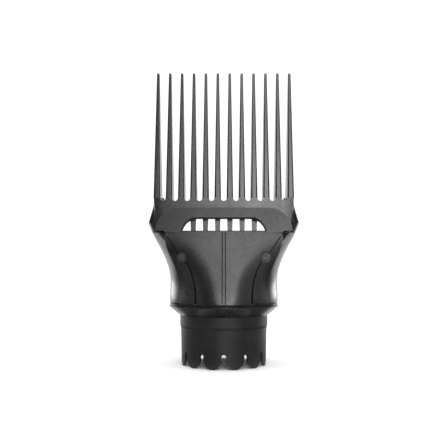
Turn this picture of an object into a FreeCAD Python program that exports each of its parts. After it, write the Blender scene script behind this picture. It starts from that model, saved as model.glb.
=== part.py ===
"""Comb nozzle for a hair dryer: a flat funnel with twelve comb teeth on a push-fit petal sleeve.

Own frame, millimetres: +Z up along the nozzle axis, X across the comb, -Y the front. The origin is on the
axis at the mouth of the petal sleeve. Each sub-part is one document object whose Label names its file.
"""

import FreeCAD, Part
import math
import os

import Sketcher
from FreeCAD import Placement, Rotation, Vector

TOOTH_COUNT = 12
PETAL_COUNT = 12
FIRST_VANE, LAST_VANE = 4, 9

SIZES = {
    # how far the cutting tools reach past the work
    "far_away": 60.0, "cut_margin": 1.0, "cut_overlap": 0.01,
    # petal sleeve
    "sleeve_top": 24.35, "sleeve_step_high": 19.6, "sleeve_step_low": 18.2,
    "sleeve_radius": 21.7, "sleeve_waist_radius": 21.3, "sleeve_mouth_radius": 20.85,
    "sleeve_seat_radius": 20.12, "sleeve_inner_radius": 19.75,
    "sleeve_mouth": 0.0, "socket_radius": 19.6, "stop_low": 14.6, "stop_high": 15.4,
    "stop_radius": 18.85,
    "notch_top": 7.15, "notch_width": 2.15, "petal_shoulder": 3.8, "petal_reach": 5.15,
    "petal_belly_out": 0.42, "petal_belly_up": 0.3,
    # collar ring with the flange
    "collar_tail_low": 17.5, "collar_tail_radius": 20.1, "collar_bore_radius": 18.7,
    "rim_radius": 27.15, "rim_low": 28.85, "rim_high": 29.2, "collar_top": 30.4,
    "collar_top_radius": 26.85, "cove_radius": 26.5, "cove_height": 29.6,
    "washer_inner": 22.2, "washer_outer": 24.2, "washer_low": 29.4, "washer_high": 30.5,
    "groove_inner": 22.1, "groove_outer": 24.3,
    # swivel spigot, its clip and the air duct
    "spigot_low": 15.6, "spigot_radius": 18.62, "spigot_bore": 17.2, "clip_low": 16.4,
    "clip_thick": 0.8, "clip_play": 0.05, "clip_inner": 17.95, "clip_outer": 19.4, "clip_gap": 6.0,
    "clip_groove_radius": 17.9, "duct_low": 30.6, "duct_base_high": 31.8, "duct_cone_high": 36.0,
    "duct_cone_radius": 20.4, "duct_high": 62.6, "base_tab_half": 12.0, "seat_root": 61.6,
    # how far each layer lies inside the outer form
    "skin": 2.0, "base_inset": 2.05, "duct_inset": 3.7, "hollow_inset": 5.0, "latch_step": 0.3,
    "corner_slip_x": 0.79, "corner_slip_y": 0.62,
    "ridge_height": 0.4, "ridge_root": 0.9, "ridge_dip": 0.15, "ridge_foot_half": 1.15,
    "ridge_top_half": 0.5, "ridge_lift": 0.3,
    # front and rear covers
    "cover_low": 30.6, "crease_low": 12.6, "crease_middle": 14.3,
    "crease_middle_z": 43.8, "crease_high": 28.5, "crease_high_z": 65.3, "panel_high": 64.6,
    "panel_top": 76.9, "panel_top_depth": 9.45, "shoulder_radius": 11.4, "shoulder_z": 65.5,
    "shoulder_half": 32.8, "window_low": 65.45, "window_high": 71.2, "window_half": 19.75,
    "window_slant": 5.4, "window_bulge": 1.0, "rear_window_high": 73.5,
    "rear_window_half": 22.6, "bevel_wide": 0.8, "bevel_sill": 0.35, "bevel_deep": 0.6,
    # latches, pins and springs
    "pivot_x": 19.6, "pivot_z": 52.5, "scallop_radius": 2.75, "scallop_foot_angle": 215.0,
    "scallop_middle_angle": 132.0, "scallop_top_angle": 50.0, "latch_hub_radius": 2.3,
    "hub_foot_angle": 225.0, "hub_middle_angle": 131.0, "hub_top_angle": 38.0,
    "latch_low": 31.0, "latch_crease_low": 13.5, "latch_crease_middle": 14.95,
    "latch_high_x": 28.55, "hub_face": 18.1, "hub_back": 16.2, "recess_radius": 2.25,
    "pin_radius": 1.25, "pin_bore": 1.3, "pin_head_radius": 1.9, "pin_crown_radius": 1.55,
    "pin_head": 0.95, "pin_half": 18.15,
    "hook_x": 32.0, "hook_thick": 1.4, "hook_half": 2.4, "hook_root": 62.0, "hook_high": 69.2,
    "nose_reach": 0.85, "nose_thick": 1.2,
    "spring_width": 6.0, "spring_thick": 0.35, "spring_low": 35.2, "spring_high": 43.6,
    "spring_seat_gap": 0.08, "spring_crown_gap": 0.4,
    # comb header
    "header_low": 65.0, "header_wing": 70.0, "header_neck": 78.5, "header_high": 82.0,
    "header_hollow_depth": 4.7, "header_hollow_half": 30.9,
    "header_roof": 78.4, "arch_half": 24.5, "arch_high": 74.2, "arch_corner": 6.0,
    "gap_half": 1.37, "gap_bottom": 80.5, "air_slot_half": 1.15, "air_slot_depth": 4.4,
    "vane_low": 65.0, "vane_high": 78.6, "vane_half_top": 1.6, "vane_half_low": 1.15,
    "vane_front": 6.7, "vane_back": 4.1,
    "leg_x": 29.0, "leg_wide": 2.0, "leg_depth": 3.0, "leg_high": 78.9, "pocket_x": 31.0,
    "pocket_wide": 3.4,
    "pocket_half": 3.0, "pocket_high": 70.4, "pip_x": 30.2, "pip_wide": 0.85,
    "pip_near": 2.0, "pip_far": 5.0, "pip_high": 83.0,
    # teeth
    "pitch": 5.99, "tooth_tip": 145.5, "tooth_neck": 144.1, "tooth_crown": 145.2,
    "tooth_base_half": 1.62, "tooth_neck_half": 0.66, "tooth_base_depth": 6.6,
    "tooth_neck_depth": 1.1, "tooth_base_corner": 0.75, "tooth_neck_corner": 0.3,
    "tooth_crown_half": 0.6, "tooth_crown_depth": 1.0, "tooth_crown_corner": 0.28,
    "tooth_tip_half": 0.38, "tooth_tip_depth": 0.75, "tooth_tip_corner": 0.15,
}

# The outer form, station by station: height, half width, half depth, the corner's x and depth, and the
# half width of the flat tongue down the front. It is nearly round at the collar and grows into a flat
# slot with bowed ends at the comb.
FORM = [
    (30.6, 27.00, 26.70, 21.2, 16.5, 1.5),
    (37.0, 26.90, 25.30, 21.2, 16.6, 3.2),
    (44.0, 26.95, 22.95, 22.0, 17.0, 4.8),
    (50.0, 28.45, 20.60, 24.2, 17.1, 7.5),
    (55.0, 30.55, 18.60, 26.5, 16.7, 10.5),
    (60.0, 33.20, 16.55, 28.1, 15.9, 14.0),
    (64.6, 35.75, 14.60, 28.5, 14.3, 18.0),
]
# The comb header's form, in the same columns.
HEADER = [
    ("header_low", 35.70, 6.85, 32.4, 6.7, 28.0),
    ("header_wing", 37.65, 6.85, 32.9, 6.7, 28.0),
    ("header_neck", 35.15, 6.85, 34.0, 6.7, 30.0),
    ("header_high", 34.80, 6.85, 34.35, 6.7, 30.0),
]

doc = FreeCAD.newDocument("comb_nozzle")
sheet = doc.addObject("Spreadsheet::Sheet", "Sizes")


def fill_sheet():
    """Every driving size goes into the sheet as a plain number with an alias."""
    rows = dict(SIZES)
    columns = ("width", "depth", "corner", "cheek", "flat")
    for form, stations in (("form", FORM), ("header", HEADER)):
        for index, (height, *values) in enumerate(stations):
            rows[f"{form}_{index}_height"] = SIZES.get(height, height)
            rows.update({f"{form}_{index}_{column}": value
                         for column, value in zip(columns, values)})
    for line, (alias, value) in enumerate(rows.items(), start=1):
        sheet.set(f"A{line}", alias)
        sheet.set(f"B{line}", str(value))
        sheet.setAlias(f"B{line}", alias)
    doc.recompute()


fill_sheet()


def size(alias):
    """The number in the sheet under this alias."""
    return float(sheet.get(alias))


def bind(obj, **paths):
    """Binds properties of an object to expressions; a double underscore stands for a dot."""
    for path, expression in paths.items():
        obj.setExpression(path.replace("__", "."), expression)


def named(obj, label):
    obj.Label = label
    return obj


# ---------------------------------------------------------------- sketches

def bowed_section(name, form, index, inset):
    """A closed section: flat front and rear, round shoulders to four corners, and bowed sides."""
    share = index / (len(FORM) - 1) if form == "form" else 1.0
    slip_x = share + (1 - share) * size("corner_slip_x")
    slip_y = share + (1 - share) * size("corner_slip_y")
    cell = f"Sizes.{form}_{index}_"
    corner_x = f"({cell}corner - {slip_x:.4f} * {inset})"
    corner_y = f"({cell}cheek - {slip_y:.4f} * {inset})"
    front_y = f"({cell}depth - {inset})"
    crown, shoulder = f"({front_y} - {corner_y})", f"({corner_x} - {cell}flat)"
    bow = f"({cell}width - {inset} - {corner_x})"

    step = size(inset.replace("Sizes.", "")) if inset != "0" else 0.0
    x = size(f"{form}_{index}_corner") - slip_x * step
    y = size(f"{form}_{index}_cheek") - slip_y * step
    front = size(f"{form}_{index}_depth") - step
    side = size(f"{form}_{index}_width") - step
    flat = size(f"{form}_{index}_flat")
    radius = ((x - flat) ** 2 + (front - y) ** 2) / (2 * (front - y))
    turn = math.asin((x - flat) / radius) / 2
    belly_x = flat + radius * math.sin(turn)
    belly_y = front - radius * (1 - math.cos(turn))

    ends = [(-1, -1, True), (-1, -1, False), (1, -1, False), (1, -1, True),
            (1, 1, True), (1, 1, False), (-1, 1, False), (-1, 1, True)]
    places = [Vector(sx * (x if corner else flat), sy * (y if corner else front), 0)
              for sx, sy, corner in ends]
    bulges = [Vector(-belly_x, -belly_y, 0), None, Vector(belly_x, -belly_y, 0),
              Vector(side, 0, 0), Vector(belly_x, belly_y, 0), None,
              Vector(-belly_x, belly_y, 0), Vector(-side, 0, 0)]
    sketch = doc.addObject("Sketcher::SketchObject", name)
    count = len(places)
    for piece, (start, bulge) in enumerate(zip(places, bulges)):
        end = places[(piece + 1) % count]
        curve = Part.Arc(start, bulge, end) if bulge else Part.LineSegment(start, end)
        sketch.addGeometry(curve, False)
    for piece in range(count):
        following = (piece + 1) % count
        sketch.addConstraint(Sketcher.Constraint("Coincident", piece, 2, following, 1))
    for piece, (sx, sy, corner) in enumerate(ends):
        reach_x = (x, corner_x) if corner else (flat, f"{cell}flat")
        reach_y = (y, corner_y) if corner else (front, front_y)
        for kind, sign, (value, expression) in (("DistanceX", sx, reach_x),
                                                ("DistanceY", sy, reach_y)):
            pair = ((-1, 1), (piece, 1)) if sign > 0 else ((piece, 1), (-1, 1))
            made = sketch.addConstraint(Sketcher.Constraint(kind, *pair[0], *pair[1], value))
            sketch.setExpression(f"Constraints[{made}]", expression)
    for first, rise, reach, others in ((0, crown, shoulder, (2, 4, 6)), (3, bow, corner_y, (7,))):
        curve_radius = sketch.Geometry[first].Radius
        made = sketch.addConstraint(Sketcher.Constraint("Radius", first, curve_radius))
        sketch.setExpression(f"Constraints[{made}]", f"({reach}^2 + {rise}^2) / (2 * {rise})")
        for other in others:
            sketch.addConstraint(Sketcher.Constraint("Equal", first, other))
    bind(sketch, Placement__Base__z=f"{cell}height")
    return sketch


def form_loft(name, form, inset, ruled):
    """A solid loft through every station of a form, a given distance inside it."""
    count = len(FORM) if form == "form" else len(HEADER)
    loft = doc.addObject("Part::Loft", name)
    loft.Sections = [bowed_section(f"{name}_{i}", form, i, inset) for i in range(count)]
    loft.Solid = True
    loft.Ruled = ruled
    return loft


# ---------------------------------------------------------------- shared tools

def feature(name, shape):
    """A document object that holds a shape built from the sheet's sizes."""
    made = doc.addObject("Part::Feature", name)
    made.Shape = shape
    return made


def cut(name, base, tool):
    made = doc.addObject("Part::Cut", name)
    made.Base, made.Tool = base, tool
    return made


def fuse(name, *shapes):
    made = doc.addObject("Part::MultiFuse", name)
    made.Shapes = list(shapes)
    return made


def common(name, *shapes):
    made = doc.addObject("Part::MultiCommon", name)
    made.Shapes = list(shapes)
    return made


def cylinder(name, radius, low, high):
    """A cylinder on the nozzle axis, from one height to another, all bound to the sheet."""
    made = doc.addObject("Part::Cylinder", name)
    bind(made, Radius=radius, Height=f"({high}) - ({low})", Placement__Base__z=low)
    return made


def block(name, x0, x1, y0, y1, z0, z1):
    """A box between six bounds, each an expression."""
    made = doc.addObject("Part::Box", name)
    bind(made, Length=f"({x1}) - ({x0})", Width=f"({y1}) - ({y0})", Height=f"({z1}) - ({z0})",
         Placement__Base__x=x0, Placement__Base__y=y0, Placement__Base__z=z0)
    return made


def elevation_prism(name, edges, near, far):
    """A closed outline in the XZ plane, pushed along Y from one depth to another."""
    face = Part.Face(Part.Wire(edges))
    face.translate(Vector(0, near, 0))
    return feature(name, face.extrude(Vector(0, far - near, 0)))


def line(start, end):
    return Part.makeLine(Vector(start[0], 0, start[1]), Vector(end[0], 0, end[1]))


def arc(start, middle, end):
    places = [Vector(x, 0, z) for x, z in (start, middle, end)]
    return Part.Arc(*places).toShape()


def mirrored(edges):
    """The same edges on the other side of the YZ plane."""
    return [edge.mirror(Vector(0, 0, 0), Vector(1, 0, 0)) for edge in edges]


def about_pivot(radius, angle):
    """A point at a named angle round the right latch's pivot, in elevation."""
    turn = math.radians(size(angle))
    return (size("pivot_x") + radius * math.cos(turn), size("pivot_z") + radius * math.sin(turn))


def sorted_wire(edges):
    return Part.Wire(Part.__sortEdges__(edges))


# ---------------------------------------------------------------- adapter: sleeve, collar, washer

def ring_body(label, outline):
    """A revolved Body; the outline is radius and height expressions, a third item bows the side."""
    body = doc.addObject("PartDesign::Body", label)
    planes = {plane.Role: plane for plane in body.Origin.OriginFeatures}
    sketch = body.newObject("Sketcher::SketchObject", f"{label}_profile")
    sketch.AttachmentSupport = [(planes["XZ_Plane"], "")]
    sketch.MapMode = "FlatFace"
    points = [Vector(size(radius), size(height), 0) for radius, height in outline]
    count = len(points)
    for index, point in enumerate(points):
        sketch.addGeometry(Part.LineSegment(point, points[(index + 1) % count]), False)
    for index in range(count):
        sketch.addConstraint(Sketcher.Constraint("Coincident", index, 2, (index + 1) % count, 1))
    for index, (radius, height) in enumerate(outline):
        for kind, alias in (("DistanceX", radius), ("DistanceY", height)):
            limit = Sketcher.Constraint(kind, -1, 1, index, 1, size(alias))
            made = sketch.addConstraint(limit)
            sketch.setExpression(f"Constraints[{made}]", f"Sizes.{alias}")
    turned = body.newObject("PartDesign::Revolution", f"{label}_turned")
    turned.Profile = sketch
    turned.ReferenceAxis = (sketch, ["V_Axis"])
    turned.Angle = 360
    return body, planes


def petal_sleeve():
    """The soft sleeve: a tapered tube whose mouth is notched into petals."""
    body, planes = ring_body("petal_sleeve", [
        ("sleeve_seat_radius", "sleeve_top"), ("sleeve_radius", "sleeve_top"),
        ("sleeve_radius", "sleeve_step_high"), ("sleeve_waist_radius", "sleeve_step_low"),
        ("sleeve_mouth_radius", "sleeve_mouth"), ("socket_radius", "sleeve_mouth"),
        ("socket_radius", "stop_low"), ("stop_radius", "stop_low"), ("stop_radius", "stop_high"),
        ("sleeve_inner_radius", "stop_high"), ("sleeve_inner_radius", "collar_tail_low"),
        ("sleeve_seat_radius", "collar_tail_low"),
    ])
    doc.recompute()
    whole = body.Shape.Volume
    half = size("notch_width") / 2
    top, shoulder = size("notch_top"), size("petal_shoulder")
    reach, below = size("petal_reach"), -size("cut_margin")
    sketch = body.newObject("Sketcher::SketchObject", "notch_profile")
    sketch.AttachmentSupport = [(planes["XZ_Plane"], "")]
    sketch.MapMode = "FlatFace"
    petal_middle = (half + size("petal_belly_out") * (reach - half),
                    size("petal_belly_up") * shoulder)
    shapes = [
        Part.Arc(Vector(-half, top - half, 0), Vector(0, top, 0), Vector(half, top - half, 0)),
        Part.LineSegment(Vector(half, top - half, 0), Vector(half, shoulder, 0)),
        Part.Arc(Vector(half, shoulder, 0), Vector(*petal_middle, 0), Vector(reach, 0, 0)),
        Part.LineSegment(Vector(reach, 0, 0), Vector(reach, below, 0)),
        Part.LineSegment(Vector(reach, below, 0), Vector(-reach, below, 0)),
        Part.LineSegment(Vector(-reach, below, 0), Vector(-reach, 0, 0)),
        Part.Arc(Vector(-reach, 0, 0), Vector(-petal_middle[0], petal_middle[1], 0),
                 Vector(-half, shoulder, 0)),
        Part.LineSegment(Vector(-half, shoulder, 0), Vector(-half, top - half, 0)),
    ]
    for piece in shapes:
        sketch.addGeometry(piece, False)
    notch = body.newObject("PartDesign::Pocket", "notch")
    notch.Profile = sketch
    notch.Type = "Length"
    bind(notch, Length="Sizes.sleeve_radius + Sizes.cut_margin")
    doc.recompute()
    if math.isclose(body.Shape.Volume, whole):
        notch.Reversed = True
        doc.recompute()
    round_all = body.newObject("PartDesign::PolarPattern", "notches")
    round_all.Originals = [notch]
    round_all.Axis = (next(f for f in body.Origin.OriginFeatures if f.Role == "Z_Axis"), [""])
    round_all.Angle = 360
    round_all.Occurrences = PETAL_COUNT
    body.Tip = round_all
    return body


def collar_ring():
    """The flange: a thin rim with a cone below it and a tail that the sleeve grips."""
    body, _ = ring_body("collar_ring", [
        ("collar_bore_radius", "collar_tail_low"), ("collar_tail_radius", "collar_tail_low"),
        ("collar_tail_radius", "sleeve_top"), ("sleeve_radius", "sleeve_top"),
        ("rim_radius", "rim_low"), ("rim_radius", "rim_high"), ("cove_radius", "cove_height"),
        ("collar_top_radius", "collar_top"), ("groove_outer", "collar_top"),
        ("groove_outer", "washer_low"), ("groove_inner", "washer_low"),
        ("groove_inner", "collar_top"), ("collar_bore_radius", "collar_top"),
    ])
    return body


def swivel_washer():
    body, _ = ring_body("swivel_washer", [
        ("washer_inner", "washer_low"), ("washer_outer", "washer_low"),
        ("washer_outer", "washer_high"), ("washer_inner", "washer_high"),
    ])
    return body


def swivel_clip():
    """An open retaining ring in the spigot's groove, under the collar's tail."""
    high = "Sizes.clip_low + Sizes.clip_thick"
    ring = cut("clip_ring", cylinder("clip_disc", "Sizes.clip_outer", "Sizes.clip_low", high),
               cylinder("clip_hole", "Sizes.clip_inner", "Sizes.clip_low", high))
    opening = block("clip_opening", "-Sizes.clip_gap / 2", "Sizes.clip_gap / 2", "0",
                    "Sizes.clip_outer + Sizes.cut_margin", "Sizes.clip_low - Sizes.cut_margin",
                    f"{high} + Sizes.cut_margin")
    return named(cut("swivel_clip", ring, opening), "swivel_clip")


# ---------------------------------------------------------------- nozzle: duct and covers

def air_duct(duct_form, hollow_form, base_form):
    """The inner funnel, with the comb's seats on its rim, two tabs at its foot and the spigot."""
    wide, overlap = "Sizes.far_away", "Sizes.cut_overlap"
    wall = common("duct_wall", duct_form,
                  cylinder("duct_reach", wide, "Sizes.duct_low", "Sizes.duct_high"))
    tabs = block("base_reach", "-Sizes.base_tab_half", "Sizes.base_tab_half", f"-{wide}", wide,
                 "Sizes.duct_low", "Sizes.duct_base_high")
    base = common("duct_base", base_form, tabs)
    spigot = cylinder("spigot", "Sizes.spigot_radius", "Sizes.spigot_low",
                      "Sizes.duct_base_high")
    solid = fuse("duct_solid", wall, base, spigot)
    cone = doc.addObject("Part::Cone", "duct_cone")
    bind(cone, Radius1="Sizes.spigot_bore", Radius2="Sizes.duct_cone_radius",
         Height="Sizes.duct_cone_high - Sizes.duct_low", Placement__Base__z="Sizes.duct_low")
    bore = cylinder("spigot_hole", "Sizes.spigot_bore", "Sizes.spigot_low - Sizes.cut_margin",
                    f"Sizes.duct_low + {overlap}")
    upper = common("duct_hollow", hollow_form,
                   cylinder("hollow_reach", wide, f"Sizes.duct_cone_high - {overlap}",
                            "Sizes.duct_high + Sizes.cut_margin"))
    groove_low = "Sizes.clip_low - Sizes.clip_play"
    groove_high = "Sizes.clip_low + Sizes.clip_thick + Sizes.clip_play"
    groove = cut("clip_groove", cylinder("groove_disc", wide, groove_low, groove_high),
                 cylinder("groove_core", "Sizes.clip_groove_radius", groove_low, groove_high))
    tools = fuse("duct_tools", cone, bore, upper, groove, *pin_rods("duct_pin", "pin_radius"))
    seats = both_sides("leg_seat", "Sizes.leg_x", "Sizes.leg_x + Sizes.leg_wide",
                       "-Sizes.leg_depth", "Sizes.leg_depth", "Sizes.seat_root",
                       "Sizes.header_low")
    return named(fuse("air_duct", cut("duct_bored", solid, tools), *seats), "air_duct")


def pin_rods(name, radius):
    """Two rods across the nozzle, one at each latch's pivot."""
    rods = []
    for side, sign in (("left", "-"), ("right", "")):
        rod = doc.addObject("Part::Cylinder", f"{name}_{side}")
        rod.Placement = Placement(Vector(), Rotation(Vector(1, 0, 0), 90))
        bind(rod, Radius=f"Sizes.{radius}", Height="2 * Sizes.pin_half",
             Placement__Base__x=f"{sign}Sizes.pivot_x", Placement__Base__y="Sizes.pin_half",
             Placement__Base__z="Sizes.pivot_z")
        rods.append(rod)
    return rods


def crease_edges():
    """The right edge of a cover, from its foot up past the latch's scallop to the shoulder."""
    foot = (size("crease_low"), size("cover_low"))
    radius = size("scallop_radius")
    leave = about_pivot(radius, "scallop_foot_angle")
    middle = about_pivot(radius, "scallop_middle_angle")
    enter = about_pivot(radius, "scallop_top_angle")
    return [
        line((0, size("cover_low")), foot),
        arc(foot, (size("crease_middle"), size("crease_middle_z")), leave),
        arc(leave, middle, enter), line(enter, (size("crease_high"), size("crease_high_z"))),
    ]


def cover_edges():
    """The whole elevation of a cover: creased below, with round shoulders above."""
    half, base, radius = size("shoulder_half"), size("shoulder_z"), size("shoulder_radius")
    high = size("panel_top")
    turn = math.radians(45)
    middle = (half - radius + radius * math.cos(turn), high - radius + radius * math.sin(turn))
    top = (size("crease_high"), size("crease_high_z"))
    right = crease_edges() + [
        line(top, (half, base)), arc((half, base), middle, (half - radius, high)),
        line((half - radius, high), (0, high)),
    ]
    return Part.__sortEdges__(right + mirrored(right))


def window_edges(half, high, grow, sill):
    """A window: a flat sill and two slanting, slightly bowed ends, grown by a margin all round."""
    low, top, wide = size("window_low") - sill, size(high) + grow, size(half) + grow
    slant, bulge, rise = size("window_slant"), size("window_bulge"), top - low
    chord = math.hypot(slant, rise)
    middle = (wide - slant / 2 + bulge * rise / chord, low + rise / 2 + bulge * slant / chord)
    right = [line((0, low), (wide, low)), arc((wide, low), middle, (wide - slant, top)),
             line((wide - slant, top), (0, top))]
    return Part.__sortEdges__(right + mirrored(right))


def panel_slab():
    """The flat upper panel, leaning back, as a slab as thick as the skin."""
    low, high = size("panel_high"), size("panel_top")
    near, far = -size("form_6_depth"), -size("panel_top_depth")
    lean = math.atan2(far - near, high - low)
    thick = size("skin") / math.cos(lean)
    half = size("shoulder_half") + size("cut_margin")
    places = [(near, low), (far, high), (far + thick, high), (near + thick, low)]
    corners = [Vector(-half, y, z) for y, z in places]
    face = Part.Face(Part.makePolygon(corners + corners[:1]))
    return feature("panel_slab", face.extrude(Vector(2 * half, 0, 0)))


def window_bevel(name, half, window_high):
    """The recess that bevels a window's rim: a loft from inside the wall out past its face."""
    low, high = size("panel_high"), size("panel_top")
    near, far = -size("form_6_depth"), -size("panel_top_depth")
    wide, sill, deep = size("bevel_wide"), size("bevel_sill"), size("bevel_deep")
    lean = math.atan2(far - near, high - low)
    rings = []
    for steps in (-1, 1):
        wire = Part.Wire(window_edges(half, window_high, (steps + 1) * wide, (steps + 1) * sill))
        wire.translate(Vector(0, near - steps * deep / math.cos(lean), 0))
        slope = FreeCAD.Matrix()
        slope.A23 = math.tan(lean)
        slope.A24 = -low * math.tan(lean)
        rings.append(wire.transformGeometry(slope))
    return feature(name, Part.makeLoft(rings, True, True))


def cover_blank(side, wall, slab, half, window_high):
    """A cover seen from the front, before its ridge: skin below, leaning panel, window."""
    near = -size("far_away")
    outline = elevation_prism(f"{side}_cover_outline", cover_edges(), near, 0)
    window = elevation_prism(f"{side}_window", window_edges(half, window_high, 0, 0), near, 0)
    body = common(f"{side}_cover_body", fuse(f"{side}_cover_all", wall, slab), outline)
    bevel = window_bevel(f"{side}_window_bevel", half, window_high)
    return cut(f"{side}_cover_blank", body, fuse(f"{side}_window_tools", window, bevel))


def ridge_section(index):
    """The ridge's six-sided section at one station: a flat top, sloping sides and a root."""
    face = -size(f"form_{index}_depth")
    foot, top = size("ridge_foot_half"), size("ridge_top_half")
    root, dip = face + size("ridge_root"), face + size("ridge_dip")
    crest, height = face - size("ridge_height"), size(f"form_{index}_height")
    places = [(-foot, root), (-foot, dip), (-top, crest), (top, crest), (foot, dip), (foot, root)]
    corners = [Vector(x, y, height) for x, y in places]
    return Part.makePolygon(corners + corners[:1])


def front_cover(blank):
    """The front cover, with the raised line down its middle from the window's sill."""
    bead = feature("bead", Part.makeLoft([ridge_section(i) for i in range(len(FORM))], True))
    wide = "Sizes.far_away"
    reach = block("ridge_reach", f"-{wide}", wide, f"-{wide}", "0",
                  "Sizes.cover_low + Sizes.ridge_lift", "Sizes.panel_high")
    return named(fuse("front_cover", blank, common("ridge", bead, reach)), "front_cover")


def mirror_image(label, source, normal):
    """The mirror image of a finished piece across a plane through the axis."""
    image = doc.addObject("Part::Mirroring", label)
    image.Source = source
    image.Normal = normal
    return named(image, label)


# ---------------------------------------------------------------- latches

def latch_edges():
    """The right latch in elevation, one play inside the cover's crease."""
    low, high, wide = size("latch_low"), size("panel_high"), size("far_away")
    radius = size("latch_hub_radius")
    foot = (size("latch_crease_low"), low)
    leave = about_pivot(radius, "hub_foot_angle")
    middle = about_pivot(radius, "hub_middle_angle")
    enter = about_pivot(radius, "hub_top_angle")
    top = (size("latch_high_x"), high)
    return [
        line((wide, low), foot),
        arc(foot, (size("latch_crease_middle"), size("crease_middle_z")), leave),
        arc(leave, middle, enter), line(enter, top),
        line(top, (wide, high)), line((wide, high), (wide, low)),
    ]


def cross_rod(name, radius, near, far):
    """A rod along Y at the right latch's pivot, from one depth to another."""
    rod = doc.addObject("Part::Cylinder", name)
    rod.Placement = Placement(Vector(), Rotation(Vector(1, 0, 0), 90))
    bind(rod, Radius=radius, Height=f"({far}) - ({near})", Placement__Base__x="Sizes.pivot_x",
         Placement__Base__y=far, Placement__Base__z="Sizes.pivot_z")
    return rod


def latch(latch_form, skin_form):
    """The right latch: a cheek of the body with a hub at each end of its pin."""
    far = size("far_away")
    outline = elevation_prism("latch_outline", latch_edges(), -far, far)
    cheek = common("latch_cheek", cut("latch_skin", latch_form, skin_form), outline)
    hubs = [
        cross_rod("front_hub", "Sizes.latch_hub_radius", "-Sizes.hub_face", "-Sizes.hub_back"),
        cross_rod("rear_hub", "Sizes.latch_hub_radius", "Sizes.hub_back", "Sizes.hub_face"),
    ]
    holes = [
        cross_rod("latch_bore", "Sizes.pin_bore", "-Sizes.far_away", "Sizes.far_away"),
        cross_rod("front_recess", "Sizes.recess_radius", "-Sizes.far_away", "-Sizes.hub_face"),
        cross_rod("rear_recess", "Sizes.recess_radius", "Sizes.hub_face", "Sizes.far_away"),
    ]
    return cut("latch_whole", fuse("latch_solid", cheek, *hubs), fuse("latch_holes", *holes))


def latch_hook(latch_whole):
    """The right latch's arm, which stands on its inner face and has a nose turned inwards."""
    reach = ("-Sizes.hook_half", "Sizes.hook_half")
    edge = "Sizes.hook_x + Sizes.hook_thick"
    arm = block("hook_arm", "Sizes.hook_x", edge, *reach, "Sizes.hook_root", "Sizes.hook_high")
    nose = block("hook_nose", "Sizes.hook_x - Sizes.nose_reach", edge, *reach,
                 "Sizes.hook_high - Sizes.nose_thick", "Sizes.hook_high")
    return cut("hook_whole", fuse("hook_solid", arm, nose), latch_whole)


def pivot_pin(side, sign):
    """A steel pin right through the nozzle, with a low round head at each end."""
    rod = doc.addObject("Part::Cylinder", f"{side}_rod")
    rod.Placement = Placement(Vector(), Rotation(Vector(1, 0, 0), 90))
    bind(rod, Radius="Sizes.pin_radius", Height="2 * Sizes.pin_half",
         Placement__Base__y="Sizes.pin_half")
    heads = []
    for face, turn in (("front", 90), ("rear", -90)):
        head = doc.addObject("Part::Cone", f"{side}_{face}_head")
        head.Placement = Placement(Vector(), Rotation(Vector(1, 0, 0), turn))
        where = "-Sizes.pin_half" if turn > 0 else "Sizes.pin_half"
        bind(head, Radius1="Sizes.pin_head_radius", Radius2="Sizes.pin_crown_radius",
             Height="Sizes.pin_head", Placement__Base__y=where)
        heads.append(head)
    pin = named(fuse(f"{side}_pivot_pin", rod, *heads), f"{side}_pivot_pin")
    bind(pin, Placement__Base__x=f"{sign}Sizes.pivot_x", Placement__Base__z="Sizes.pivot_z")
    return pin


def latch_spring(side, sign):
    """A bowed leaf between the duct and the foot of a latch, its back to the duct."""
    low, high = size("spring_low"), size("spring_high")
    thick, width = size("spring_thick"), size("spring_width")
    seat = size("form_1_width") - size("duct_inset") + size("spring_seat_gap")
    crown = size("form_1_width") - size("skin") - size("spring_crown_gap")
    middle = (low + high) / 2
    outer = [(seat + thick, low), (crown, middle), (seat + thick, high)]
    inner = [(seat, high), (crown - thick, middle), (seat, low)]
    edges = [arc(*outer), line(outer[2], inner[0]), arc(*inner), line(inner[2], outer[0])]
    if sign < 0:
        edges = mirrored(edges)
    face = Part.Face(sorted_wire(edges))
    face.translate(Vector(0, -width / 2, 0))
    leaf = feature(f"{side}_latch_spring", face.extrude(Vector(0, width, 0)))
    return named(leaf, f"{side}_latch_spring")


# ---------------------------------------------------------------- comb

def comb_x(index):
    """Where tooth number index, from 1 at the left, stands across the comb."""
    return f"Sizes.pitch * {index - (TOOTH_COUNT + 1) / 2}"


def arch_prism():
    """The arch under the header: a wide opening behind the covers' windows."""
    half, high, radius = size("arch_half"), size("arch_high"), size("arch_corner")
    low, far = size("header_low") - size("cut_margin"), size("far_away")
    turn = math.radians(45)
    middle = (half - radius + radius * math.cos(turn), high - radius + radius * math.sin(turn))
    right = [line((0, low), (half, low)), line((half, low), (half, high - radius)),
             arc((half, high - radius), middle, (half - radius, high)),
             line((half - radius, high), (0, high))]
    return elevation_prism("arch", Part.__sortEdges__(right + mirrored(right)), -far, far)


def gap_prism(index):
    """The round-bottomed gap between tooth number index and the next."""
    centre = (index - TOOTH_COUNT / 2) * size("pitch")
    half, low, far = size("gap_half"), size("gap_bottom"), size("far_away")
    high = size("header_high") + size("cut_margin")
    left, right = centre - half, centre + half
    edges = [arc((left, low + half), (centre, low), (right, low + half)),
             line((right, low + half), (right, high)), line((right, high), (left, high)),
             line((left, high), (left, low + half))]
    return elevation_prism(f"gap_{index}", edges, -far, far)


def vane(index):
    """A rib in the header's front wall, in line with its tooth and narrower at its foot."""
    centre = (index - (TOOTH_COUNT + 1) / 2) * size("pitch")
    top, low = size("vane_half_top"), size("vane_half_low")
    high, foot = size("vane_high"), size("vane_low")
    corners = [(centre - low, foot), (centre + low, foot), (centre + top, high),
               (centre - top, high)]
    edges = [line(corner, corners[(i + 1) % 4]) for i, corner in enumerate(corners)]
    return elevation_prism(f"vane_{index}", edges, -size("vane_front"), -size("vane_back"))


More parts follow.
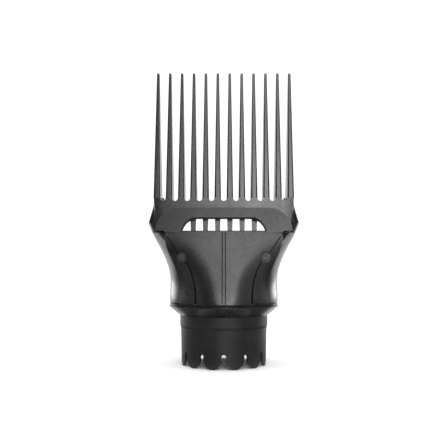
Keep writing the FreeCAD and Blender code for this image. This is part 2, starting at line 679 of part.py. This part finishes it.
def both_sides(name, x0, x1, y0, y1, z0, z1):
    """The same box on the right and on the left."""
    flipped = (f"-({x1})", f"-({x0})")
    return [block(f"{name}_right", x0, x1, y0, y1, z0, z1),
            block(f"{name}_left", *flipped, y0, y1, z0, z1)]


def comb_header(header_form):
    """The comb's root: a hollow bridge with wings, vanes in the window and slots for the air."""
    half, deep, margin = "Sizes.header_hollow_half", "Sizes.header_hollow_depth", "Sizes.cut_margin"
    foot = f"Sizes.header_low - {margin}"
    hollow = block("header_hollow", f"-{half}", half, f"-{deep}", deep, foot, "Sizes.header_roof")
    slots = [block(f"air_slot_{i}", f"Sizes.pitch * {i - TOOTH_COUNT / 2} - Sizes.air_slot_half",
                   f"Sizes.pitch * {i - TOOTH_COUNT / 2} + Sizes.air_slot_half",
                   "-Sizes.air_slot_depth", "Sizes.air_slot_depth",
                   f"Sizes.header_roof - {margin}", f"Sizes.header_high + {margin}")
             for i in range(1, TOOTH_COUNT)]
    gaps = [gap_prism(i) for i in range(1, TOOTH_COUNT)]
    pockets = both_sides("pocket", "Sizes.pocket_x", "Sizes.pocket_x + Sizes.pocket_wide",
                         "-Sizes.pocket_half", "Sizes.pocket_half", foot, "Sizes.pocket_high")
    tools = fuse("header_tools", hollow, arch_prism(), *pockets, *slots, *gaps)
    bridge = cut("bridge", header_form, tools)
    vanes = [vane(i) for i in range(FIRST_VANE, LAST_VANE + 1)]
    legs = both_sides("leg", "Sizes.leg_x", "Sizes.leg_x + Sizes.leg_wide",
                      "-Sizes.leg_depth", "Sizes.leg_depth", "Sizes.header_low",
                      "Sizes.leg_high")
    pips = both_sides("pip", "Sizes.pip_x", "Sizes.pip_x + Sizes.pip_wide", "Sizes.pip_near",
                      "Sizes.pip_far", f"Sizes.gap_bottom - {margin}", "Sizes.pip_high")
    return named(fuse("comb_header", bridge, *vanes, *legs, *pips), "comb_header")


def tooth_section(name, height, half, depth, corner):
    """A rounded rectangle across a tooth, at one height."""
    x, y, radius = size(half), size(depth), size(corner)
    sketch = doc.addObject("Sketcher::SketchObject", name)
    inner_x, inner_y = x - radius, y - radius
    quarter = math.pi / 2
    signs = [(1, 1), (-1, 1), (-1, -1), (1, -1)]
    for index, (sx, sy) in enumerate(signs):
        circle = Part.Circle(Vector(sx * inner_x, sy * inner_y, 0), Vector(0, 0, 1), radius)
        start = index * quarter
        sketch.addGeometry(Part.ArcOfCircle(circle, start, start + quarter), False)
    ends = [(Vector(inner_x, y, 0), Vector(-inner_x, y, 0)),
            (Vector(-x, inner_y, 0), Vector(-x, -inner_y, 0)),
            (Vector(-inner_x, -y, 0), Vector(inner_x, -y, 0)),
            (Vector(x, -inner_y, 0), Vector(x, inner_y, 0))]
    for start, end in ends:
        sketch.addGeometry(Part.LineSegment(start, end), False)
    for side in range(4):
        sketch.addConstraint(Sketcher.Constraint("Tangent", side, 2, 4 + side, 1))
        sketch.addConstraint(Sketcher.Constraint("Tangent", 4 + side, 2, (side + 1) % 4, 1))
    for index, (sx, sy) in enumerate(signs):
        for kind, sign, value, alias in (("DistanceX", sx, inner_x, half),
                                         ("DistanceY", sy, inner_y, depth)):
            places = ((-1, 1), (index, 3)) if sign > 0 else ((index, 3), (-1, 1))
            made = sketch.addConstraint(Sketcher.Constraint(kind, *places[0], *places[1], value))
            sketch.setExpression(f"Constraints[{made}]", f"Sizes.{alias} - Sizes.{corner}")
    made = sketch.addConstraint(Sketcher.Constraint("Radius", 0, radius))
    sketch.setExpression(f"Constraints[{made}]", f"Sizes.{corner}")
    for other in (1, 2, 3):
        sketch.addConstraint(Sketcher.Constraint("Equal", 0, other))
    bind(sketch, Placement__Base__z=f"Sizes.{height}")
    return sketch


def tooth_sections(name):
    return [
        tooth_section(f"{name}_base", "header_high", "tooth_base_half", "tooth_base_depth",
                      "tooth_base_corner"),
        tooth_section(f"{name}_neck", "tooth_neck", "tooth_neck_half", "tooth_neck_depth",
                      "tooth_neck_corner"),
        tooth_section(f"{name}_crown", "tooth_crown", "tooth_crown_half", "tooth_crown_depth",
                      "tooth_crown_corner"),
        tooth_section(f"{name}_tip", "tooth_tip", "tooth_tip_half", "tooth_tip_depth",
                      "tooth_tip_corner"),
    ]


def tooth(index):
    """One blade of the comb, deep at its root and a blunt needle at its tip."""
    label = f"tooth_{index:02d}"
    loft = doc.addObject("Part::Loft", label)
    loft.Sections = tooth_sections(label)
    loft.Solid = True
    loft.Ruled = True
    bind(loft, Placement__Base__x=comb_x(index))
    return named(loft, label)


# ---------------------------------------------------------------- assembly and export

def failed(obj):
    return any(word in obj.State for word in ("Invalid", "Error"))


def build():
    outer_form = form_loft("outer_form", "form", "0", False)
    skin_form = form_loft("skin_form", "form", "Sizes.skin", False)
    base_form = form_loft("base_form", "form", "Sizes.base_inset", False)
    duct_form = form_loft("duct_form", "form", "Sizes.duct_inset", False)
    hollow_form = form_loft("hollow_form", "form", "Sizes.hollow_inset", False)
    latch_form = form_loft("latch_form", "form", "Sizes.latch_step", False)
    header_form = form_loft("header_form", "header", "0", True)
    doc.recompute()

    wall, slab = cut("cover_wall", outer_form, skin_form), panel_slab()
    front = cover_blank("front", wall, slab, "window_half", "window_high")
    rear = cover_blank("rear", wall, slab, "rear_window_half", "rear_window_high")
    latch_whole = latch(latch_form, skin_form)
    hook_whole = latch_hook(latch_whole)
    across = Vector(1, 0, 0)
    nodes = [
        petal_sleeve(), collar_ring(), swivel_washer(), swivel_clip(),
        air_duct(duct_form, hollow_form, base_form),
        front_cover(front),
        mirror_image("rear_cover", rear, Vector(0, 1, 0)),
        named(latch_whole, "right_latch"), mirror_image("left_latch", latch_whole, across),
        named(hook_whole, "right_latch_hook"),
        mirror_image("left_latch_hook", hook_whole, across),
        pivot_pin("left", "-"), pivot_pin("right", ""),
        latch_spring("left", -1), latch_spring("right", 1),
        comb_header(header_form),
    ]
    nodes += [tooth(index) for index in range(1, TOOTH_COUNT + 1)]
    doc.recompute()
    return nodes


def export(nodes):
    """Checks every object and writes one file for each sub-part."""
    bad = [obj.Name for obj in doc.Objects if failed(obj)]
    if bad:
        raise RuntimeError(f"failed objects: {bad}")
    os.makedirs("parts", exist_ok=True)
    for node in nodes:
        shape = node.Shape
        if shape.isNull() or not shape.isValid() or not shape.Solids:
            raise RuntimeError(f"{node.Label} has no valid solid")
        shape.exportStep(f"parts/{node.Label}.step")
        print(f"{node.Label}: {len(shape.Solids)} solid, {shape.Volume:.1f} mm3")


export(build())
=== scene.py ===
"""Looks for the comb nozzle: materials, floor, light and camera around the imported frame."""

import math

import bpy
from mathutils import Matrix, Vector

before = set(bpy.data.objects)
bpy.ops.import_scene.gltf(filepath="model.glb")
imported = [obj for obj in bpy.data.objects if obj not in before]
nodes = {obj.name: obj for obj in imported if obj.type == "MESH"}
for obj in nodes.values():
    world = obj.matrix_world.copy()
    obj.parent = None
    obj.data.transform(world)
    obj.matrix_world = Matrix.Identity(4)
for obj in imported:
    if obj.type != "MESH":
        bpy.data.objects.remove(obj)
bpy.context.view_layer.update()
scene = bpy.context.scene

TEETH = sorted(name for name in nodes if name.startswith("tooth_"))
COVERS = ["front_cover", "rear_cover"]
LATCHES = ["left_latch", "right_latch", "left_latch_hook", "right_latch_hook"]
SPRINGS = ["left_latch_spring", "right_latch_spring", "swivel_clip"]
PINS = ["left_pivot_pin", "right_pivot_pin"]

MIDDLE = Vector((0, 0, 0.06))  # what the lights aim at, in metres
LIGHT_DISTANCE = 0.9
SCREEN_RADIUS = 1.1
SCREEN_STEPS = 12
FLOOR_HALF = 6
FLOOR_LIFT = 0.0005  # floor screens lie this far above the floor


# ---------------------------------------------------------------- node helpers

class Surface:
    """A material under construction: its node tree, its shader and the row-frame coordinates."""

    def __init__(self, name, color, roughness, **constants):
        self.material = bpy.data.materials.new(name)
        self.material.use_nodes = True
        self.tree = self.material.node_tree
        self.shader = self.tree.nodes["Principled BSDF"]
        self.shader.inputs["Base Color"].default_value = (*color, 1)
        self.shader.inputs["Roughness"].default_value = roughness
        for socket, value in constants.items():
            self.shader.inputs[socket.replace("_", " ")].default_value = value
        self.place = self.node("TexCoord").outputs["Object"]

    def node(self, kind, **settings):
        made = self.tree.nodes.new(f"ShaderNode{kind}")
        for key, value in settings.items():
            setattr(made, key, value)
        return made

    def link(self, source, target):
        self.tree.links.new(source, target)

    def stretched(self, x, y, z):
        """The coordinates scaled along each axis, so that a pattern runs along one of them."""
        mapping = self.node("Mapping")
        mapping.inputs["Scale"].default_value = (x, y, z)
        self.link(self.place, mapping.inputs["Vector"])
        return mapping.outputs["Vector"]

    def noise(self, grain, detail=3.0, place=None):
        """Noise whose features are about this many millimetres across."""
        made = self.node("TexNoise")
        made.inputs["Scale"].default_value = 1000 / grain
        made.inputs["Detail"].default_value = detail
        self.link(place or self.place, made.inputs["Vector"])
        return made.outputs["Fac"]

    def spread(self, value, low, high, start=0.35, end=0.65):
        """Maps a pattern's middle range onto low to high."""
        made = self.node("MapRange")
        made.inputs["From Min"].default_value = start
        made.inputs["From Max"].default_value = end
        made.inputs["To Min"].default_value = low
        made.inputs["To Max"].default_value = high
        self.link(value, made.inputs["Value"])
        return made.outputs["Result"]

    def sum(self, *values, operation="ADD"):
        total = values[0]
        for value in values[1:]:
            made = self.node("Math", operation=operation)
            self.link(total, made.inputs[0])
            self.link(value, made.inputs[1])
            total = made.outputs[0]
        return total

    def edges(self, radius):
        """A mask that is 1 on edges sharper than this radius in millimetres and 0 on flats."""
        edge_cosine, flat_cosine = 0.90, 0.995
        bevel = self.node("Bevel", samples=4)
        bevel.inputs["Radius"].default_value = radius / 1000
        geometry = self.node("NewGeometry")
        turn = self.node("VectorMath", operation="DOT_PRODUCT")
        self.link(bevel.outputs["Normal"], turn.inputs[0])
        self.link(geometry.outputs["Normal"], turn.inputs[1])
        return self.spread(turn.outputs["Value"], 1, 0, edge_cosine, flat_cosine)

    def blend(self, mask, low, high):
        """A colour that goes from low to high with a mask."""
        made = self.node("Mix", data_type="RGBA")
        made.inputs["A"].default_value = (*low, 1)
        made.inputs["B"].default_value = (*high, 1)
        self.link(mask, made.inputs["Factor"])
        return made.outputs["Result"]

    def color(self, source):
        self.link(source, self.shader.inputs["Base Color"])

    def roughness(self, source):
        self.link(source, self.shader.inputs["Roughness"])

    def bump(self, *layers):
        """Stacks bump layers, each a pattern and its height in micrometres."""
        normal = None
        for pattern, height in layers:
            made = self.node("Bump")
            made.inputs["Distance"].default_value = height / 1e6
            self.link(pattern, made.inputs["Height"])
            if normal:
                self.link(normal, made.inputs["Normal"])
            normal = made.outputs["Normal"]
        self.link(normal, self.shader.inputs["Normal"])


def dress(surface, names):
    """Gives nodes a material through their objects' own slots."""
    for name in names:
        node = nodes[name]
        if not node.material_slots:
            node.data.materials.append(None)
        for slot in node.material_slots:
            slot.link = "OBJECT"
            slot.material = surface.material


# ---------------------------------------------------------------- materials

def moulded_plastic(name, dark, worn, roughness, grain, streak):
    """Satin moulded plastic: fine spark texture, flow streaks, handling haze and paler edges."""
    made = Surface(name, dark, roughness)
    worn_edge = made.sum(made.edges(0.22), made.spread(made.noise(2.5), 0, 1), operation="MULTIPLY")
    made.color(made.blend(worn_edge, dark, worn))
    haze = made.spread(made.noise(22), -0.035, 0.035)
    fine = made.spread(made.noise(1.6), -0.02, 0.02)
    flow = made.spread(made.noise(3.0, place=made.stretched(1, 1, streak)), -0.015, 0.015)
    edge = made.spread(worn_edge, roughness, roughness + 0.1, 0, 1)
    made.roughness(made.sum(edge, haze, fine, flow))
    made.bump((made.noise(grain, 2.0), 1.5), (made.noise(9.0, 1.0), 4))
    return made


def soft_plastic():
    """The sleeve's matte heat-resisting plastic: a dull, slightly dusty skin."""
    dark, dusty = (0.006, 0.006, 0.0062), (0.013, 0.013, 0.0132)
    made = Surface("sleeve_soft_black", dark, 0.5, Specular_IOR_Level=0.42)
    dust = made.sum(made.spread(made.noise(6.0, 5.0), 0, 1), made.edges(0.3), operation="MAXIMUM")
    made.color(made.blend(made.spread(dust, 0, 0.6, 0, 1), dark, dusty))
    made.roughness(made.sum(made.spread(made.noise(12), 0.46, 0.54),
                            made.spread(made.noise(0.9), -0.03, 0.03)))
    made.bump((made.noise(0.25, 2.0), 4), (made.noise(5.0, 1.0), 10))
    return made


def duct_plastic():
    made = Surface("duct_matte_black", (0.01, 0.01, 0.01), 0.5)
    made.color(made.blend(made.spread(made.noise(8), 0, 1), (0.009, 0.009, 0.009), (0.014, 0.014, 0.014)))
    made.roughness(made.spread(made.noise(1.2), 0.45, 0.56))
    made.bump((made.noise(0.3, 2.0), 10))
    return made


def steel(name, color, roughness):
    """Drawn steel with fine lines along its length and a little tarnish."""
    made = Surface(name, color, roughness, Metallic=1.0)
    paler = tuple(1.25 * c for c in color)
    made.color(made.blend(made.spread(made.noise(1.5), 0, 1), color, paler))
    lines = made.noise(0.15, place=made.stretched(1, 1, 0.06))
    made.roughness(made.spread(lines, roughness - 0.07, roughness + 0.08))
    made.bump((lines, 3))
    return made


def felt():
    made = Surface("washer_felt", (0.1, 0.1, 0.1), 0.95, Sheen_Weight=0.4)
    made.color(made.blend(made.spread(made.noise(0.4, 6.0), 0, 1), (0.06, 0.06, 0.06), (0.16, 0.16, 0.155)))
    made.bump((made.noise(0.12, 5.0), 60))
    return made


def dress_all():
    dark, worn = (0.007, 0.007, 0.0073), (0.03, 0.03, 0.031)
    shell = moulded_plastic("shell_satin_black", dark, worn, 0.26, 0.22, 0.2)
    comb = moulded_plastic("comb_satin_black", dark, worn, 0.24, 0.2, 0.08)
    dress(shell, COVERS + LATCHES + ["collar_ring"])
    dress(comb, TEETH + ["comb_header"])
    dress(soft_plastic(), ["petal_sleeve"])
    dress(duct_plastic(), ["air_duct"])
    dress(steel("spring_steel", (0.45, 0.45, 0.46), 0.3), SPRINGS)
    dress(steel("pin_steel_black", (0.035, 0.035, 0.036), 0.35), PINS)
    dress(felt(), ["swivel_washer"])


dress_all()


# ---------------------------------------------------------------- camera

def camera():
    """A long lens just above the sleeve's height, tipped up a little towards the comb."""
    made = bpy.data.objects.new("camera", bpy.data.cameras.new("camera"))
    scene.collection.objects.link(made)
    tilt = math.radians(1.5)
    horizon_drop = 0.1027  # share of the picture's width that the horizon sits off its middle
    made.data.sensor_width = 36
    made.data.lens = 48.2
    made.location = (0.0001, -0.300, 0.0466)
    made.rotation_euler = (math.radians(90) + tilt, 0, 0)
    made.data.shift_y = horizon_drop - math.tan(tilt) * made.data.lens / made.data.sensor_width
    made.data.clip_start, made.data.clip_end = 0.01, 20
    scene.camera = made


# ---------------------------------------------------------------- studio

def polar(azimuth, elevation, distance):
    """A place round the object: azimuth 0 is in front, positive to the right, in degrees."""
    a, e = math.radians(azimuth), math.radians(elevation)
    return MIDDLE + distance * Vector((math.sin(a) * math.cos(e), -math.cos(a) * math.cos(e), math.sin(e)))


def softbox(name, azimuth, elevation, half_wide, half_tall, radiance):
    """A light aimed at the object; its place and half sizes are angles seen from the object."""
    data = bpy.data.lights.new(name, "AREA")
    data.shape = "RECTANGLE"
    data.size = 2 * LIGHT_DISTANCE * math.tan(math.radians(half_wide))
    data.size_y = 2 * LIGHT_DISTANCE * math.tan(math.radians(half_tall))
    data.energy = radiance * math.pi * data.size * data.size_y
    made = bpy.data.objects.new(name, data)
    made.location = polar(azimuth, elevation, LIGHT_DISTANCE)
    made.rotation_euler = (MIDDLE - made.location).to_track_quat("-Z", "Y").to_euler()
    made.visible_camera = False
    scene.collection.objects.link(made)


def plain(name, value):
    """A matt grey, with the faintest cloudiness."""
    cloud_size, cloud_depth = 60, 0.01
    made = Surface(name, (value, value, value), 0.9, Specular_IOR_Level=0.1)
    clouds = made.spread(made.noise(cloud_size), 0, 1)
    made.color(made.blend(clouds, (value * (1 - cloud_depth),) * 3, (value,) * 3))
    return made.material


def sheet(name, points, faces, value):
    mesh = bpy.data.meshes.new(name)
    mesh.from_pydata(points, [], faces)
    mesh.materials.append(plain(name, value))
    made = bpy.data.objects.new(name, mesh)
    scene.collection.objects.link(made)
    return made


def swept_screen(name, start, end, ends_at, value):
    """A strip swept round the object from one azimuth to another, seen only in reflections."""
    points = []
    for i in range(SCREEN_STEPS + 1):
        points += ends_at(start + (end - start) * i / SCREEN_STEPS)
    faces = [(2 * i, 2 * i + 2, 2 * i + 3, 2 * i + 1) for i in range(SCREEN_STEPS)]
    made = sheet(name, points, faces, value)
    made.visible_camera = made.visible_diffuse = made.visible_shadow = False


def flag(name, start, end, low, high, value):
    """A dark upright screen round the object, between two elevations."""
    def ends_at(azimuth):
        foot = polar(azimuth, 0, SCREEN_RADIUS)
        return [(foot.x, foot.y, foot.z + SCREEN_RADIUS * math.tan(math.radians(elevation)))
                for elevation in (low, high)]
    swept_screen(name, start, end, ends_at, value)


def floor_flag(name, start, end, near, far, value):
    """A darker patch of floor round the object, between two distances in metres."""
    def ends_at(azimuth):
        feet = [polar(azimuth, 0, reach) for reach in (near, far)]
        return [(foot.x, foot.y, FLOOR_LIFT) for foot in feet]
    swept_screen(name, start, end, ends_at, value)


def studio():
    """A white room with a bright strip in front, softer sides, and dark screens between them."""
    world = bpy.data.worlds.new("studio")
    world.use_nodes = True
    world.node_tree.nodes["Background"].inputs["Color"].default_value = (1, 1, 1, 1)
    world.node_tree.nodes["Background"].inputs["Strength"].default_value = 1.15
    scene.world = world
    corners = [(x * FLOOR_HALF, y * FLOOR_HALF, 0) for x, y in ((-1, -1), (1, -1), (1, 1), (-1, 1))]
    sheet("floor", corners, [(0, 1, 2, 3)], 0.9)
    softbox("front_main", 5.2, 27, 8.8, 27, 4.3)
    softbox("front_low", 5.2, 10, 8.8, 12, 2.9)
    softbox("side_left", -132, 0, 15, 4, 4.6)
    softbox("side_right", 132, 0, 15, 4, 4.6)
    softbox("top", 0, 88, 22, 22, 1.5)
    flag("flag_left", -38, 0, -3, 62, value=0.01)
    flag("flag_left_side", -85, -38, -3, 62, value=0.3)
    flag("flag_right", 0, 85, -3, 62, value=0.45)
    flag("flag_high_left", -150, -85, 4, 70, value=0.01)
    flag("flag_high_right", 85, 150, 4, 70, value=0.01)
    floor_flag("flag_floor_left", -125, -6, 0.024, 1.0, 0.12)
    floor_flag("flag_floor_front", -6, 14, 0.024, 1.0, 0.22)
    floor_flag("flag_floor_right", 14, 125, 0.024, 1.0, 0.12)
    scene.view_settings.view_transform = "Standard"


camera()
studio()
